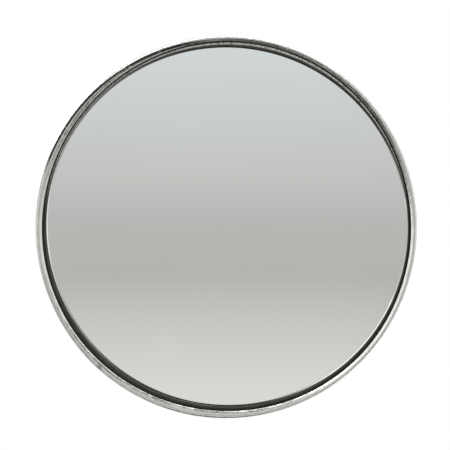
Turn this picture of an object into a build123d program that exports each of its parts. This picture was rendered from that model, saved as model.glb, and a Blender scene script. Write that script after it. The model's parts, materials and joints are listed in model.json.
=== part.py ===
"""Convex traffic mirror with its post bracket.

A round domed mirror sits in a rolled steel hoop with a pressed shell behind it. A yoke on the shell
tilts about a level bolt, and the arm between yoke and clamp pans about an upright bolt. The clamp
grips a round post. Millimetres, +Z up, the mirror faces -Y, and the origin is on the post's axis at
the middle of the clamp's height.
"""
from build123d import *
import math
import os
from collections import namedtuple

# ---------------------------------------------------------------- driving dimensions
# Mirror, rubber channel and hoop
rim_diameter = 450.0        # outside of the hoop
rim_to_face = 12.4          # from the hoop's outside in to the rubber lip's inner edge
dome_radius = 785.0         # curvature of the mirror's front
lens_thickness = 3.0
lens_edge_gap = 0.5         # room for the sheet to grow inside the rubber channel
gasket_wall = 2.3           # rubber between the sheet's edge and the hoop
gasket_lip = 2.2            # rubber in front of and behind the flanges
gasket_lip_round = 0.7
hoop_thickness = 1.2
lip_width = 7.6             # hoop's front lip, from the outside in to its edge
lip_drop = 3.0              # fall of the front lip towards the mirror
hoop_bend = 2.4             # centre-line radius of the hoop's two corners

# Back shell and the plate inside it
shell_thickness = 1.0
shell_depth = 24.0          # from the flange's back to the flat centre's back
shell_wall_inset = 6.0      # from the mirror face's edge in to the top of the steep wall
shell_wall_run = 10.0
shell_wall_drop = 12.0
shell_flat_radius = 90.0
shell_bends = (4.0, 25.0, 40.0)
drain_diameter = 6.0
drain_count = 3
drain_spread = 16.0         # degrees between the first and the last drain hole
stiffener_margin = 18.0     # from the yoke bolts out to the plate's edge
stiffener_thickness = 3.0

# Yoke on the back of the shell
yoke_margin = 10.0          # from the yoke bolts out to the plate's edge
yoke_thickness = 4.0
yoke_reach = 30.0           # from the plate's back to the tilt bolt
plate_corner = 8.0
pad_thickness = 2.0
socket_room = 3.2           # between an ear and the washers beside it
bolt_spacing_z = 44.0
ear_thickness = 5.0
ear_radius = 14.0
ear_root = 42.0             # height of an ear where it meets the plate

# Arm between the pan bolt and the tilt bolt
arm_length = 50.0
barrel_radius = 11.0
tilt_barrel_length = 40.0
web_width = 12.0
web_height = 20.0
bush_radius = 6.5
bush_length = 10.0
bush_flange_radius = 10.0
bush_flange = 1.5

# Post clamp
post_diameter = 60.3
clamp_thickness = 4.0
clamp_gap = 5.0             # between the facing flanges, so that the bolts can draw them in
clamp_flange_width = 27.0   # from the strip's outside to the flange's end
clamp_corner = 5.0
clamp_bend = 3.0
lug_thickness = 5.0
lug_space = 30.0            # between the two pan lugs
lug_radius = 14.0
pan_reach = 24.0            # from the strip's outside to the pan bolt

# Clearances
bolt_play = 0.05            # radial, between a pivot bolt and its bushes
swivel_play = 0.3           # each side, between a bush's flange and the lug or ear that it faces
hole_play = 0.3             # radial, round a fastener that doesn't turn in use
thread_show = 3.0           # thread that stands out of a nut

# Fasteners: metric hex bolts, nuts, flat washers and spring washers
Fastener = namedtuple("Fastener", "diameter flats head nut washer washer_radius spring spring_radius")
M6 = Fastener(6.0, 10.0, 4.0, 5.2, 1.6, 6.0, 1.6, 5.4)
M8 = Fastener(8.0, 13.0, 5.3, 6.8, 1.6, 8.0, 2.0, 7.0)
M10 = Fastener(10.0, 16.0, 6.4, 8.4, 2.0, 10.0, 2.5, 8.6)
hex_face_share = 0.95       # round face of a hex head, as a share of its width across flats
spring_slit = 1.0

# ---------------------------------------------------------------- worked out from those
rim_radius = rim_diameter / 2
face_radius = rim_radius - rim_to_face
channel_radius = rim_radius - hoop_thickness
slot_radius = channel_radius - gasket_wall
lens_radius = slot_radius - lens_edge_gap
post_radius = post_diameter / 2
strip_radius = post_radius + clamp_thickness
lug_outside = lug_space / 2 + lug_thickness
clamp_height = 2 * lug_outside
pan_barrel_length = lug_space - 2 * (bush_flange + swivel_play)
ear_inside = tilt_barrel_length / 2 + bush_flange + swivel_play
ear_outside = ear_inside + ear_thickness
bolt_spacing_x = 2 * (ear_outside + socket_room + M6.washer_radius)
clamp_bolt_x = strip_radius + clamp_flange_width / 2

# Stations along Y, from the post forward
pan_y = -(strip_radius + pan_reach)
tilt_y = pan_y - arm_length
plate_y = tilt_y - yoke_reach
pad_y = plate_y - yoke_thickness
shell_y = pad_y - pad_thickness
stiffener_y = shell_y - shell_thickness
stiffener_front_y = stiffener_y - stiffener_thickness
flange_y = shell_y - shell_depth

# Stations in the rim's section, forward from the back of the shell's flange
lens_front = shell_thickness + lens_thickness
gasket_front = lens_front + gasket_lip
hoop_back = -gasket_lip - hoop_thickness / 2

# In the section plane, x is the distance from the mirror's axis and y points forward, out of the face.
section = Plane(origin=(0, flange_y, 0), x_dir=(1, 0, 0), z_dir=(0, 0, -1))


def facing_back(y):
    """A plane across the mirror's axis at y, with its normal pointing back to the post."""
    return Plane(origin=(0, y, 0), x_dir=(-1, 0, 0), z_dir=(0, 1, 0))


# ---------------------------------------------------------------- fasteners
def hex_blank(size, height):
    """A hex prism from z = 0 up, with its top corners turned off at 30 degrees."""
    face_radius_on_top = hex_face_share * size.flats / 2
    with BuildPart() as blank:
        with BuildSketch():
            RegularPolygon(size.flats / 2, 6, major_radius=False)
        extrude(amount=height)
        Cone(
            face_radius_on_top + height * math.sqrt(3),
            face_radius_on_top,
            height,
            align=(Align.CENTER, Align.CENTER, Align.MIN),
            mode=Mode.INTERSECT,
        )
    return blank.part


def hex_bolt(size, grip):
    """A bolt whose head stands on z = 0 and whose shank goes down through grip, washers and nut."""
    head = hex_blank(size, size.head)
    length = grip + thread_show
    with BuildPart() as bolt:
        add(head)
        with BuildSketch():
            Circle(size.diameter / 2)
        extrude(amount=-length)
        chamfer(bolt.edges().group_by(Axis.Z)[0], size.diameter / 10)
    return bolt.part


def hex_nut(size):
    """A nut from z = 0 up."""
    blank = hex_blank(size, size.nut)
    with BuildPart() as nut:
        add(blank)
        with BuildSketch():
            Circle(size.diameter / 2)
        extrude(amount=size.nut, mode=Mode.SUBTRACT)
    return nut.part


def flat_washer(size):
    """A flat washer from z = 0 up."""
    with BuildPart() as washer:
        with BuildSketch():
            Circle(size.washer_radius)
            Circle(size.diameter / 2 + hole_play, mode=Mode.SUBTRACT)
        extrude(amount=size.washer)
    return washer.part


def spring_washer(size):
    """A split spring washer, pressed flat, from z = 0 up."""
    with BuildPart() as washer:
        with BuildSketch():
            Circle(size.spring_radius)
            Circle(size.diameter / 2 + hole_play, mode=Mode.SUBTRACT)
            with Locations((size.spring_radius / 2 + size.diameter / 4, 0)):
                Rectangle(size.spring_radius, spring_slit, mode=Mode.SUBTRACT)
        extrude(amount=size.spring)
    return washer.part


def flanged_bush(size):
    """A flanged plain bush: its flange stands on z = 0 and its sleeve goes down."""
    with BuildPart() as bush:
        with BuildSketch():
            Circle(bush_flange_radius)
        extrude(amount=bush_flange)
        with BuildSketch():
            Circle(bush_radius)
        extrude(amount=-bush_length)
        Hole(size.diameter / 2 + bolt_play)
    return bush.part


def placed(piece, planes):
    """One sub-part made of a copy of the piece on each plane."""
    with BuildPart() as group:
        with Locations(*planes):
            add(piece)
    return group


def raised(planes, height):
    """The same planes, each moved along its normal."""
    return [plane.offset(height) for plane in planes]


def bolted_joint(name, plural, size, head_planes, nut_planes, span):
    """Bolts through span, with flat washers under head and nut and spring washers under the nuts."""
    grip = span + 2 * size.washer + size.spring + size.nut
    return {
        f"{name}_bolt{plural}": placed(hex_bolt(size, grip), raised(head_planes, size.washer)),
        f"{name}_washers": placed(flat_washer(size), head_planes + nut_planes),
        f"{name}_spring_washer{plural}": placed(spring_washer(size), raised(nut_planes, size.washer)),
        f"{name}_nut{plural}": placed(hex_nut(size), raised(nut_planes, size.washer + size.spring)),
    }


# ---------------------------------------------------------------- mirror head
def make_mirror_lens():
    """Domed mirror sheet with a flat flange all round."""
    dome_height = math.sqrt(dome_radius**2 - face_radius**2)
    dome_centre = lens_front - dome_height
    inner_radius = dome_radius - lens_thickness
    back_edge = math.sqrt(inner_radius**2 - (shell_thickness - dome_centre) ** 2)
    apex = dome_centre + dome_radius
    with BuildPart() as mirror_lens:
        with BuildSketch(section):
            with BuildLine():
                RadiusArc((0, apex), (face_radius, lens_front), dome_radius)
                Polyline(
                    (face_radius, lens_front),
                    (lens_radius, lens_front),
                    (lens_radius, shell_thickness),
                    (back_edge, shell_thickness),
                )
                RadiusArc((back_edge, shell_thickness), (0, apex - lens_thickness), -inner_radius)
                Line((0, apex - lens_thickness), (0, apex))
            make_face()
        revolve(axis=Axis.Y)
    return mirror_lens


def make_edge_gasket():
    """Rubber channel that grips the mirror's flange and the shell's flange together."""
    channel_width = channel_radius - face_radius
    slot_width = slot_radius - face_radius
    with BuildPart() as edge_gasket:
        with BuildSketch(section):
            with Locations((face_radius, -gasket_lip)):
                Rectangle(channel_width, gasket_front + gasket_lip, align=Align.MIN)
            with Locations((face_radius, 0)):
                Rectangle(slot_width, lens_front, align=Align.MIN, mode=Mode.SUBTRACT)
        revolve(axis=Axis.Y)
        rings = edge_gasket.edges().filter_by(GeomType.CIRCLE)
        front_rings = rings.group_by(Axis.Y)[0].sort_by(SortBy.RADIUS)
        back_rings = rings.group_by(Axis.Y)[-1].sort_by(SortBy.RADIUS)
        fillet([front_rings[0], back_rings[0]], gasket_lip_round)
        fillet([front_rings[-1], back_rings[-1]], hoop_bend - hoop_thickness / 2)
    return edge_gasket


def make_rim_hoop():
    """Rolled hoop: a lip behind the rubber, a straight wall, and a front lip that slopes in to the rubber."""
    half = hoop_thickness / 2
    wall = rim_radius - half
    lip_run = lip_width - hoop_thickness
    lip_edge = gasket_front + half * math.cos(math.atan2(lip_drop, lip_run))
    with BuildPart() as rim_hoop:
        with BuildSketch(section):
            with BuildLine():
                FilletPolyline(
                    (wall - lip_run, hoop_back),
                    (wall, hoop_back),
                    (wall, lip_edge + lip_drop),
                    (wall - lip_run, lip_edge),
                    radius=hoop_bend,
                )
            trace(line_width=hoop_thickness)
        revolve(axis=Axis.Y)
    return rim_hoop


def make_back_shell():
    """Pressed dish behind the mirror, with drain holes at the bottom and holes for the yoke bolts."""
    flange_middle = shell_thickness / 2
    back_middle = shell_thickness / 2 - shell_depth
    wall_top = face_radius - shell_wall_inset
    wall_foot = wall_top - shell_wall_run
    with BuildPart() as back_shell:
        with BuildSketch(section):
            with BuildLine():
                FilletPolyline(
                    (lens_radius, flange_middle),
                    (wall_top, flange_middle),
                    (wall_foot, -shell_wall_drop),
                    (shell_flat_radius, back_middle),
                    (0, back_middle),
                    radius=shell_bends,
                )
            trace(line_width=shell_thickness)
        revolve(axis=Axis.Y)
        with BuildSketch(facing_back(stiffener_y)):
            with GridLocations(bolt_spacing_x, bolt_spacing_z, 2, 2):
                Circle(M6.diameter / 2 + hole_play)
        extrude(amount=shell_thickness, mode=Mode.SUBTRACT)
        with BuildSketch(facing_back(flange_y)):
            drain_start = -90 - drain_spread / 2
            with PolarLocations((wall_top + wall_foot) / 2, drain_count, drain_start, drain_spread, endpoint=True):
                Circle(drain_diameter / 2)
        extrude(amount=shell_depth, mode=Mode.SUBTRACT)
    return back_shell


def bolted_plate(y, margin, thickness):
    """A plate across the mirror's axis, margin wider than the yoke bolts, from y back towards the post."""
    with BuildPart() as plate:
        with BuildSketch(facing_back(y)):
            RectangleRounded(bolt_spacing_x + 2 * margin, bolt_spacing_z + 2 * margin, plate_corner)
            with GridLocations(bolt_spacing_x, bolt_spacing_z, 2, 2):
                Circle(M6.diameter / 2 + hole_play, mode=Mode.SUBTRACT)
        extrude(amount=thickness)
    return plate


def make_yoke():
    """Plate bolted to the shell, with two welded ears that carry the tilt bolt."""
    base = bolted_plate(pad_y, yoke_margin, yoke_thickness)
    # In the ear's sketch, x is up and y points forward, and the tilt bolt is at its origin.
    ear_plane = Plane(origin=(ear_inside, tilt_y, 0), x_dir=(0, 0, 1), z_dir=(1, 0, 0))
    with BuildPart() as yoke:
        add(base.part)
        with BuildSketch(ear_plane):
            Circle(ear_radius)
            with Locations((0, yoke_reach + yoke_thickness / 2)):
                Rectangle(ear_root, yoke_thickness)
            make_hull()
            Circle(M10.diameter / 2 + hole_play, mode=Mode.SUBTRACT)
        extrude(amount=ear_thickness)
        mirror(about=Plane.YZ)
    return yoke


# ---------------------------------------------------------------- arm
def make_swivel_arm():
    """Upright barrel for the pan bolt and level barrel for the tilt bolt, joined by a web."""
    with BuildPart() as swivel_arm:
        with BuildSketch(Plane.XY.offset(-pan_barrel_length / 2)):
            with Locations((0, pan_y)):
                Circle(barrel_radius)
        extrude(amount=pan_barrel_length)
        with BuildSketch(Plane.YZ.offset(-tilt_barrel_length / 2)):
            with Locations((tilt_y, 0)):
                Circle(barrel_radius)
        extrude(amount=tilt_barrel_length)
        with BuildSketch(Plane.XY.offset(-web_height / 2)):
            with Locations((0, (pan_y + tilt_y) / 2)):
                Rectangle(web_width, arm_length)
        extrude(amount=web_height)
        with BuildSketch(Plane.XY.offset(-pan_barrel_length / 2)):
            with Locations((0, pan_y)):
                Circle(bush_radius)
        extrude(amount=pan_barrel_length, mode=Mode.SUBTRACT)
        with BuildSketch(Plane.YZ.offset(-tilt_barrel_length / 2)):
            with Locations((tilt_y, 0)):
                Circle(bush_radius)
        extrude(amount=tilt_barrel_length, mode=Mode.SUBTRACT)
    return swivel_arm


# ---------------------------------------------------------------- post clamp
def clamp_strip():
    """Half-round strip on the -Y side of the post, with a drilled flat flange each side."""
    flange_end = strip_radius + clamp_flange_width
    flange_back = clamp_gap / 2
    with BuildPart() as strip:
        with BuildSketch(Plane.XY.offset(-clamp_height / 2)) as outline:
            Circle(strip_radius)
            with Locations((0, -flange_back - clamp_thickness / 2)):
                Rectangle(2 * flange_end, clamp_thickness)
            with Locations((0, -flange_back)):
                Rectangle(3 * flange_end, 2 * flange_end, align=(Align.CENTER, Align.MIN), mode=Mode.SUBTRACT)
            bends = outline.vertices().filter_by(lambda v: abs(v.X) < flange_end - clamp_bend)
            fillet(bends.group_by(Axis.Y)[0], clamp_bend)
            Circle(post_radius, mode=Mode.SUBTRACT)
        extrude(amount=clamp_height)
        flange_ends = strip.edges().filter_by(Axis.Y).group_by(SortBy.DISTANCE)[-1]
        fillet(flange_ends, clamp_corner)
        with BuildSketch(Plane.XZ):
            with GridLocations(2 * clamp_bolt_x, 1, 2, 1):
                Circle(M8.diameter / 2 + hole_play)
        extrude(amount=strip_radius, mode=Mode.SUBTRACT)
    return strip.part


def make_front_clamp():
    """Front strip with two welded lugs that carry the pan bolt."""
    strip = clamp_strip()
    with BuildPart() as front_clamp:
        add(strip)
        with BuildSketch(Plane.XY.offset(lug_space / 2)):
            with Locations((0, pan_y)):
                Circle(lug_radius)
                Rectangle(2 * lug_radius, -pan_y, align=(Align.CENTER, Align.MIN))
                Circle(M10.diameter / 2 + hole_play, mode=Mode.SUBTRACT)
            Circle(strip_radius - clamp_thickness / 2, mode=Mode.SUBTRACT)
        extrude(amount=lug_thickness)
        mirror(about=Plane.XY)
    return front_clamp


def make_rear_clamp():
    """Rear strip, the front strip's mirror image without its lugs."""
    strip = clamp_strip()
    with BuildPart() as rear_clamp:
        mirror(strip, about=Plane.XZ)
    return rear_clamp


# ---------------------------------------------------------------- bolted joints
def across_pan(z, side):
    """A plane across the pan bolt at height z, with its normal up (1) or down (-1)."""
    return Plane(origin=(0, pan_y, z * side), z_dir=(0, 0, side))


def across_tilt(x, side):
    """A plane across the tilt bolt, x out from the middle, with its normal along +X (1) or -X (-1)."""
    return Plane(origin=(x * side, tilt_y, 0), z_dir=(side, 0, 0))


def clamp_faces(side):
    """Planes on the outside of a strip's two flanges: the rear strip's (1) or the front strip's (-1)."""
    y = side * (clamp_gap / 2 + clamp_thickness)
    return [Plane(origin=(x, y, 0), z_dir=(0, side, 0)) for x in (-clamp_bolt_x, clamp_bolt_x)]


def yoke_corners(y, side):
    """Planes at the four yoke bolts, across the mirror's axis at y, facing back (1) or forward (-1)."""
    half_x = bolt_spacing_x / 2
    half_z = bolt_spacing_z / 2
    corners = [(x, z) for x in (-half_x, half_x) for z in (-half_z, half_z)]
    return [Plane(origin=(x, y, z), z_dir=(0, side, 0)) for x, z in corners]


def yoke_fasteners():
    """Four bolts with their heads on the plate inside the shell and their nuts behind the yoke."""
    stack = stiffener_thickness + shell_thickness + pad_thickness + yoke_thickness
    grip = stack + M6.washer + M6.spring + M6.nut
    nut_faces = yoke_corners(plate_y, 1)
    return {
        "yoke_bolts": placed(hex_bolt(M6, grip), yoke_corners(stiffener_front_y, -1)),
        "yoke_washers": placed(flat_washer(M6), nut_faces),
        "yoke_spring_washers": placed(spring_washer(M6), raised(nut_faces, M6.washer)),
        "yoke_nuts": placed(hex_nut(M6), raised(nut_faces, M6.washer + M6.spring)),
    }


bush = flanged_bush(M10)
pan_ends = [across_pan(pan_barrel_length / 2, side) for side in (1, -1)]
tilt_ends = [across_tilt(tilt_barrel_length / 2, side) for side in (1, -1)]

pieces = {
    "mirror_lens": make_mirror_lens(),
    "edge_gasket": make_edge_gasket(),
    "rim_hoop": make_rim_hoop(),
    "back_shell": make_back_shell(),
    "stiffener_plate": bolted_plate(stiffener_front_y, stiffener_margin, stiffener_thickness),
    "yoke_pad": bolted_plate(shell_y, yoke_margin, pad_thickness),
    "yoke": make_yoke(),
    "swivel_arm": make_swivel_arm(),
    "pan_bushes": placed(bush, pan_ends),
    "tilt_bushes": placed(bush, tilt_ends),
    "front_clamp": make_front_clamp(),
    "rear_clamp": make_rear_clamp(),
}
pieces.update(yoke_fasteners())
pieces.update(
    bolted_joint("tilt", "", M10, [across_tilt(ear_outside, 1)], [across_tilt(ear_outside, -1)], 2 * ear_outside)
)
pieces.update(
    bolted_joint("pan", "", M10, [across_pan(lug_outside, 1)], [across_pan(lug_outside, -1)], 2 * lug_outside)
)
pieces.update(
    bolted_joint("clamp", "s", M8, clamp_faces(-1), clamp_faces(1), clamp_gap + 2 * clamp_thickness)
)

os.makedirs("parts", exist_ok=True)
for label, piece in pieces.items():
    piece.part.label = label
    export_step(piece.part, f"parts/{label}.step")
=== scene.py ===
"""Looks of a traffic convex mirror and its post bracket, laid out as an add-on and run as a script."""
import json
import math

import bmesh
import bpy
from bpy.props import FloatProperty, FloatVectorProperty, PointerProperty
from bpy.types import Operator, Panel, PropertyGroup
from mathutils import Matrix, Vector

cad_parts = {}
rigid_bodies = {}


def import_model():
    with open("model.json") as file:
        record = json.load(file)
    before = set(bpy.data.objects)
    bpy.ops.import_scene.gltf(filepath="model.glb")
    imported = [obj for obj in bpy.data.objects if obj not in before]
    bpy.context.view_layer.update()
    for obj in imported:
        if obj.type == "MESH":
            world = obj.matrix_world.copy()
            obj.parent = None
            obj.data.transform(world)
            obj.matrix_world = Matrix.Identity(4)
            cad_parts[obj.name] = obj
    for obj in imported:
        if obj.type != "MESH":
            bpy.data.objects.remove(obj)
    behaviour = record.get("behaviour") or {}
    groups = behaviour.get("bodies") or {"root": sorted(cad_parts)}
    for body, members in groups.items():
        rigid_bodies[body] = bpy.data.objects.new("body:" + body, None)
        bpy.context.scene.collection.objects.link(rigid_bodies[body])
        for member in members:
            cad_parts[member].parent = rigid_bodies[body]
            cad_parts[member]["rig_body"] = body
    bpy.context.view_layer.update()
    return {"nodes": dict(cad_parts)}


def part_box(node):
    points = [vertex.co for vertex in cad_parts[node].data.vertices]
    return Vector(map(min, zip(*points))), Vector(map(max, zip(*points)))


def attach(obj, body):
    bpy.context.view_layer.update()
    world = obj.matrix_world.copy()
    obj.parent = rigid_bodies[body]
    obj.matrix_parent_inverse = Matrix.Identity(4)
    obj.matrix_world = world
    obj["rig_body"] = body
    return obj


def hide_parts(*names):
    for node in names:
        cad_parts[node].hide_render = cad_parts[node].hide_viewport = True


bl_info = {
    "name": "Traffic Convex Mirror",
    "version": (1, 0, 0),
    "blender": (4, 5, 0),
    "location": "View3D > Sidebar > Convex Mirror",
    "description": "Domed road mirror in a rolled steel hoop, on a pan and tilt post bracket",
    "category": "Object",
}

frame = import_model()

# Stations read from the frame. Distances forward are measured from the back of the mirror's flange.
flange_back_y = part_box("mirror_lens")[1].y
sheet_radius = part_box("mirror_lens")[1].x
dome_top = flange_back_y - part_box("mirror_lens")[0].y
rubber_back = flange_back_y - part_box("edge_gasket")[1].y
rubber_front = flange_back_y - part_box("edge_gasket")[0].y
rubber_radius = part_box("edge_gasket")[1].x
hoop_back = flange_back_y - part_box("rim_hoop")[1].y
hoop_front = flange_back_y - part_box("rim_hoop")[0].y
hoop_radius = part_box("rim_hoop")[1].x
dish_back = flange_back_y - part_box("back_shell")[1].y

ear_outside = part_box("tilt_washers")[1].x
tilt_y = (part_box("tilt_nut")[0].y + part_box("tilt_nut")[1].y) / 2
pan_y = (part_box("pan_nut")[0].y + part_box("pan_nut")[1].y) / 2


class Fastener:
    """Metric sizes: thread diameter and pitch, width across flats, heights, and washer radii."""

    def __init__(self, diameter, pitch, flats, head, nut, washer, washer_radius, spring, spring_radius):
        self.diameter, self.pitch, self.head, self.nut = diameter, pitch, head, nut
        self.washer, self.washer_radius = washer, washer_radius
        self.spring, self.spring_radius = spring, spring_radius
        self.half = flats / 2
        self.chamfer = self.half * 0.95


M6 = Fastener(0.006, 0.0010, 0.010, 0.0040, 0.0052, 0.0016, 0.006, 0.0016, 0.0054)
M8 = Fastener(0.008, 0.00125, 0.013, 0.0053, 0.0068, 0.0016, 0.008, 0.0020, 0.0070)
M10 = Fastener(0.010, 0.0015, 0.016, 0.0064, 0.0084, 0.0020, 0.010, 0.0025, 0.0086)


# ---------------------------------------------------------------- settings
def length(name, text, size):
    """A length setting in metres."""
    return FloatProperty(name=name, description=text, default=size, unit="LENGTH")


def angle(name, text, degrees):
    """An angle setting. Clock angles run from the top, as seen from the front."""
    return FloatProperty(name=name, description=text, default=math.radians(degrees), subtype="ANGLE")


def number(name, text, value):
    """A plain number setting."""
    return FloatProperty(name=name, description=text, default=value)


def colour(name, text, value):
    """A colour setting."""
    return FloatVectorProperty(name=name, description=text, default=value, subtype="COLOR")


class FaceSettings(PropertyGroup):
    """Sizes and colour of the mirror sheet."""

    dome_radius: length("Dome radius", "Curvature of the sheet's front", 0.785)
    sheet: length("Sheet", "Thickness of the sheet", 0.003)
    fold: length("Fold", "Width of the turned edge that shows beside the rubber", 0.0017)
    fold_slope: angle("Fold slope", "How steeply the turned edge rises", 32)
    fold_bend: length("Fold bend", "Inner radius at the foot of the turned edge", 0.0006)
    silver: colour("Silver", "Colour of the reflecting layer", (0.87, 0.875, 0.87))


class RimSettings(PropertyGroup):
    """Sizes and colours of the hoop and the rubber edge."""

    cover: length("Cover", "From the hoop's outside in to the mirror face", 0.0124)
    metal: length("Metal", "Thickness of the hoop", 0.0012)
    lip: length("Lip", "Width of the hoop's front lip", 0.0072)
    corner: length("Corner", "Middle radius of the hoop's corners", 0.0024)
    slope: length("Slope", "Fall of the hoop's lip towards the mirror", 0.0039)
    groove: length("Groove", "Open groove between the hoop's lip and the rubber", 0.0011)
    groove_floor: length("Groove floor", "From the flange's back forward to the groove's floor", 0.0035)
    off_centre: length("Off centre", "How far the rubber's opening sits off the axis", 0.0014)
    off_centre_clock: angle("Off centre clock", "Clock angle the opening is moved to", 44)
    hem_follows: number("Hem follows", "Share of the opening's move that the lip's hem makes", 0.6)
    oval: length("Oval", "How much the rubber's opening is out of round", 0.0013)
    oval_clock: angle("Oval clock", "Clock angle of the opening's long way", 112)
    waves: length("Waves", "How much the lip's hem wanders, in three waves", 0.0008)
    waves_clock: angle("Waves clock", "Clock angle where the lip is narrowest", 132)
    seam_clock: angle("Seam", "Clock angle of the hoop's welded seam", 223)
    # The next two settings place a painted dark reflection: a near-black band on the hoop's outer bend,
    # thickest at this clock angle.
    dark_reflection_clock: angle("Grime", "Clock angle where run-off grime is thickest", 320)
    dark_reflection_reach: angle("Dark reflection reach", "From there to where the grime ends", 35.5)
    steel: colour("Steel", "Colour of the rolled hoop", (0.81, 0.80, 0.775))
    rubber: colour("Rubber", "Colour of the rubber edge", (0.038, 0.038, 0.034))


class BackSettings(PropertyGroup):
    """Sizes and colours of the dish, the bracket and its fasteners."""

    metal: length("Metal", "Thickness of the dish", 0.001)
    wall_inset: length("Wall inset", "From the face's edge in to the steep wall", 0.006)
    wall_run: length("Wall run", "Width of the steep wall", 0.010)
    wall_drop: length("Wall drop", "Depth of the steep wall", 0.012)
    flat: length("Flat", "Radius of the flat centre", 0.090)
    drain: length("Drain", "Diameter of a drain hole", 0.006)
    drain_step: angle("Drain step", "Clock angle between drain holes", 8)
    plate: length("Plate", "Thickness of the ears and lugs", 0.005)
    ear_half: length("Ear", "Half the length of an ear's weld", 0.019)
    lug_half: length("Lug", "Half the width of a clamp lug", 0.0125)
    barrel: length("Barrel", "Outside radius of the arm's barrels", 0.011)
    web_half: length("Web", "Half the thickness of the arm's web", 0.006)
    web_tall: length("Web height", "Half the height of the arm's web", 0.010)
    bead: length("Bead", "Radius of a weld bead", 0.0017)
    ear_bead: length("Ear bead", "Radius of a weld bead at the ears", 0.0019)
    bush_radius: length("Bush", "Outside radius of a bush inside its barrel", 0.0065)
    bush_length: length("Bush length", "From a bush's flange to its inner end", 0.010)
    bush_flange: length("Bush flange", "Thickness of a bush's flange", 0.0015)
    zinc: colour("Zinc", "Colour of the galvanised steel", (0.56, 0.575, 0.58))
    plating: colour("Plating", "Colour of the plated fasteners", (0.66, 0.65, 0.60))
    nylon: colour("Nylon", "Colour of the bushes", (0.78, 0.75, 0.66))


class StageSettings(PropertyGroup):
    """Camera and floor."""

    azimuth: angle("Azimuth", "Camera's turn round the mirror", -5)
    elevation: angle("Elevation", "Camera's height angle", 1)
    lens: number("Lens", "Focal length in millimetres", 100.0)
    rim_share: number("Rim share", "Hoop's diameter as a share of the view's width", 0.8505)
    aim_left: length("Aim left", "How far left of the mirror's axis the camera looks", 0.00435)
    aim_up: length("Aim up", "How far above the mirror's axis the camera looks", 0.00294)
    floor_drop: length("Floor drop", "From the mirror's axis down to the floor", 0.62)
    floor_radius: length("Floor radius", "Where the floor has faded away", 1.4)


class MirrorSettings(PropertyGroup):
    """All settings of the convex mirror."""

    face: PointerProperty(type=FaceSettings)
    rim: PointerProperty(type=RimSettings)
    back: PointerProperty(type=BackSettings)
    stage: PointerProperty(type=StageSettings)


# ---------------------------------------------------------------- outlines
def arc(centre, radius, start, end, steps):
    """Points on an arc from start to end, in degrees, round a centre in the outline's plane."""
    turns = [math.radians(start + (end - start) * i / steps) for i in range(steps + 1)]
    return [(centre[0] + radius * math.cos(t), centre[1] + radius * math.sin(t)) for t in turns]


def rounded(points, radii, steps=8):
    """An open line with its inner corners turned into arcs of the given radii."""
    line = [points[0]]
    for before, corner, after, radius in zip(points, points[1:], points[2:], radii):
        corner_v = Vector(corner)
        to_before = (Vector(before) - corner_v).normalized()
        to_after = (Vector(after) - corner_v).normalized()
        half = to_before.angle(to_after) / 2
        centre = corner_v + (to_before + to_after).normalized() * (radius / math.sin(half))
        start = corner_v + to_before * (radius / math.tan(half)) - centre
        end = corner_v + to_after * (radius / math.tan(half)) - centre
        sweep = start.angle_signed(end)
        for i in range(steps + 1):
            spoke = start.copy()
            spoke.rotate(Matrix.Rotation(-sweep * i / steps, 2))
            line.append(tuple(centre + spoke))
    return line + [points[-1]]


def evenly(line, longest):
    """The same line with extra points, so that no step is longer than the given length."""
    dense = [line[0]]
    for a, b in zip(line, line[1:]):
        pieces = max(1, math.ceil((Vector(b) - Vector(a)).length / longest))
        dense += [tuple(Vector(a).lerp(Vector(b), i / pieces)) for i in range(1, pieces + 1)]
    return dense


def ribbon(line, thickness, cap_steps=6):
    """Closed outline of a sheet of the given thickness that follows a line, with rounded ends."""
    points = [Vector(p) for p in line]
    left, right = [], []
    for i, p in enumerate(points):
        along = (points[min(i + 1, len(points) - 1)] - points[max(i - 1, 0)]).normalized()
        side = Vector((-along.y, along.x)) * thickness / 2
        left.append(p + side)
        right.append(p - side)

    def cap(centre, start):
        spoke = start - centre
        ends = []
        for i in range(1, cap_steps):
            turned = spoke.copy()
            turned.rotate(Matrix.Rotation(-math.pi * i / cap_steps, 2))
            ends.append(centre + turned)
        return ends

    outline = left + cap(points[-1], left[-1]) + right[::-1] + cap(points[0], right[0])
    return [tuple(p) for p in outline]


# ---------------------------------------------------------------- meshes
def finished(name, bm, material, body, replaces=(), sharp=35):
    """Links a bmesh as a smooth-shaded piece that rides on a body."""
    bmesh.ops.recalc_face_normals(bm, faces=bm.faces)
    mesh = bpy.data.meshes.new(name)
    bm.to_mesh(mesh)
    bm.free()
    mesh.shade_smooth()
    mesh.set_sharp_from_angle(angle=math.radians(sharp))
    mesh.materials.append(material)
    piece = bpy.data.objects.new(name, mesh)
    bpy.context.scene.collection.objects.link(piece)
    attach(piece, body)
    if replaces:
        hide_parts(*replaces)
    return piece


def turn(bm, outline, place, clocks, closed=True, shift=None):
    """Adds a turned surface: the outline's (radius, height) points go round the place's Z axis."""
    rings = []
    for clock in clocks:
        ring = []
        for radius, height in outline:
            if shift:
                radius, height = shift(clock, radius, height)
            across = Vector((radius * math.sin(clock), radius * math.cos(clock), height))
            ring.append(bm.verts.new(place @ across))
        rings.append(ring)
    count = len(outline)
    last = count if closed else count - 1
    for ring, after in zip(rings, rings[1:] + rings[:1]):
        for i in range(last):
            j = (i + 1) % count
            bm.faces.new((ring[i], ring[j], after[j], after[i]))
    bmesh.ops.remove_doubles(bm, verts=[v for ring in rings for v in ring], dist=1e-7)


def full_circle(steps):
    """Clock angles of an evenly stepped circle."""
    return [2 * math.pi * i / steps for i in range(steps)]


# Forward along the mirror's axis is the place's Z, up is its Y, and the clock runs as seen from the front.
mirror_axis = Matrix(((1, 0, 0, 0), (0, 0, -1, flange_back_y), (0, 1, 0, 0), (0, 0, 0, 1)))


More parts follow.
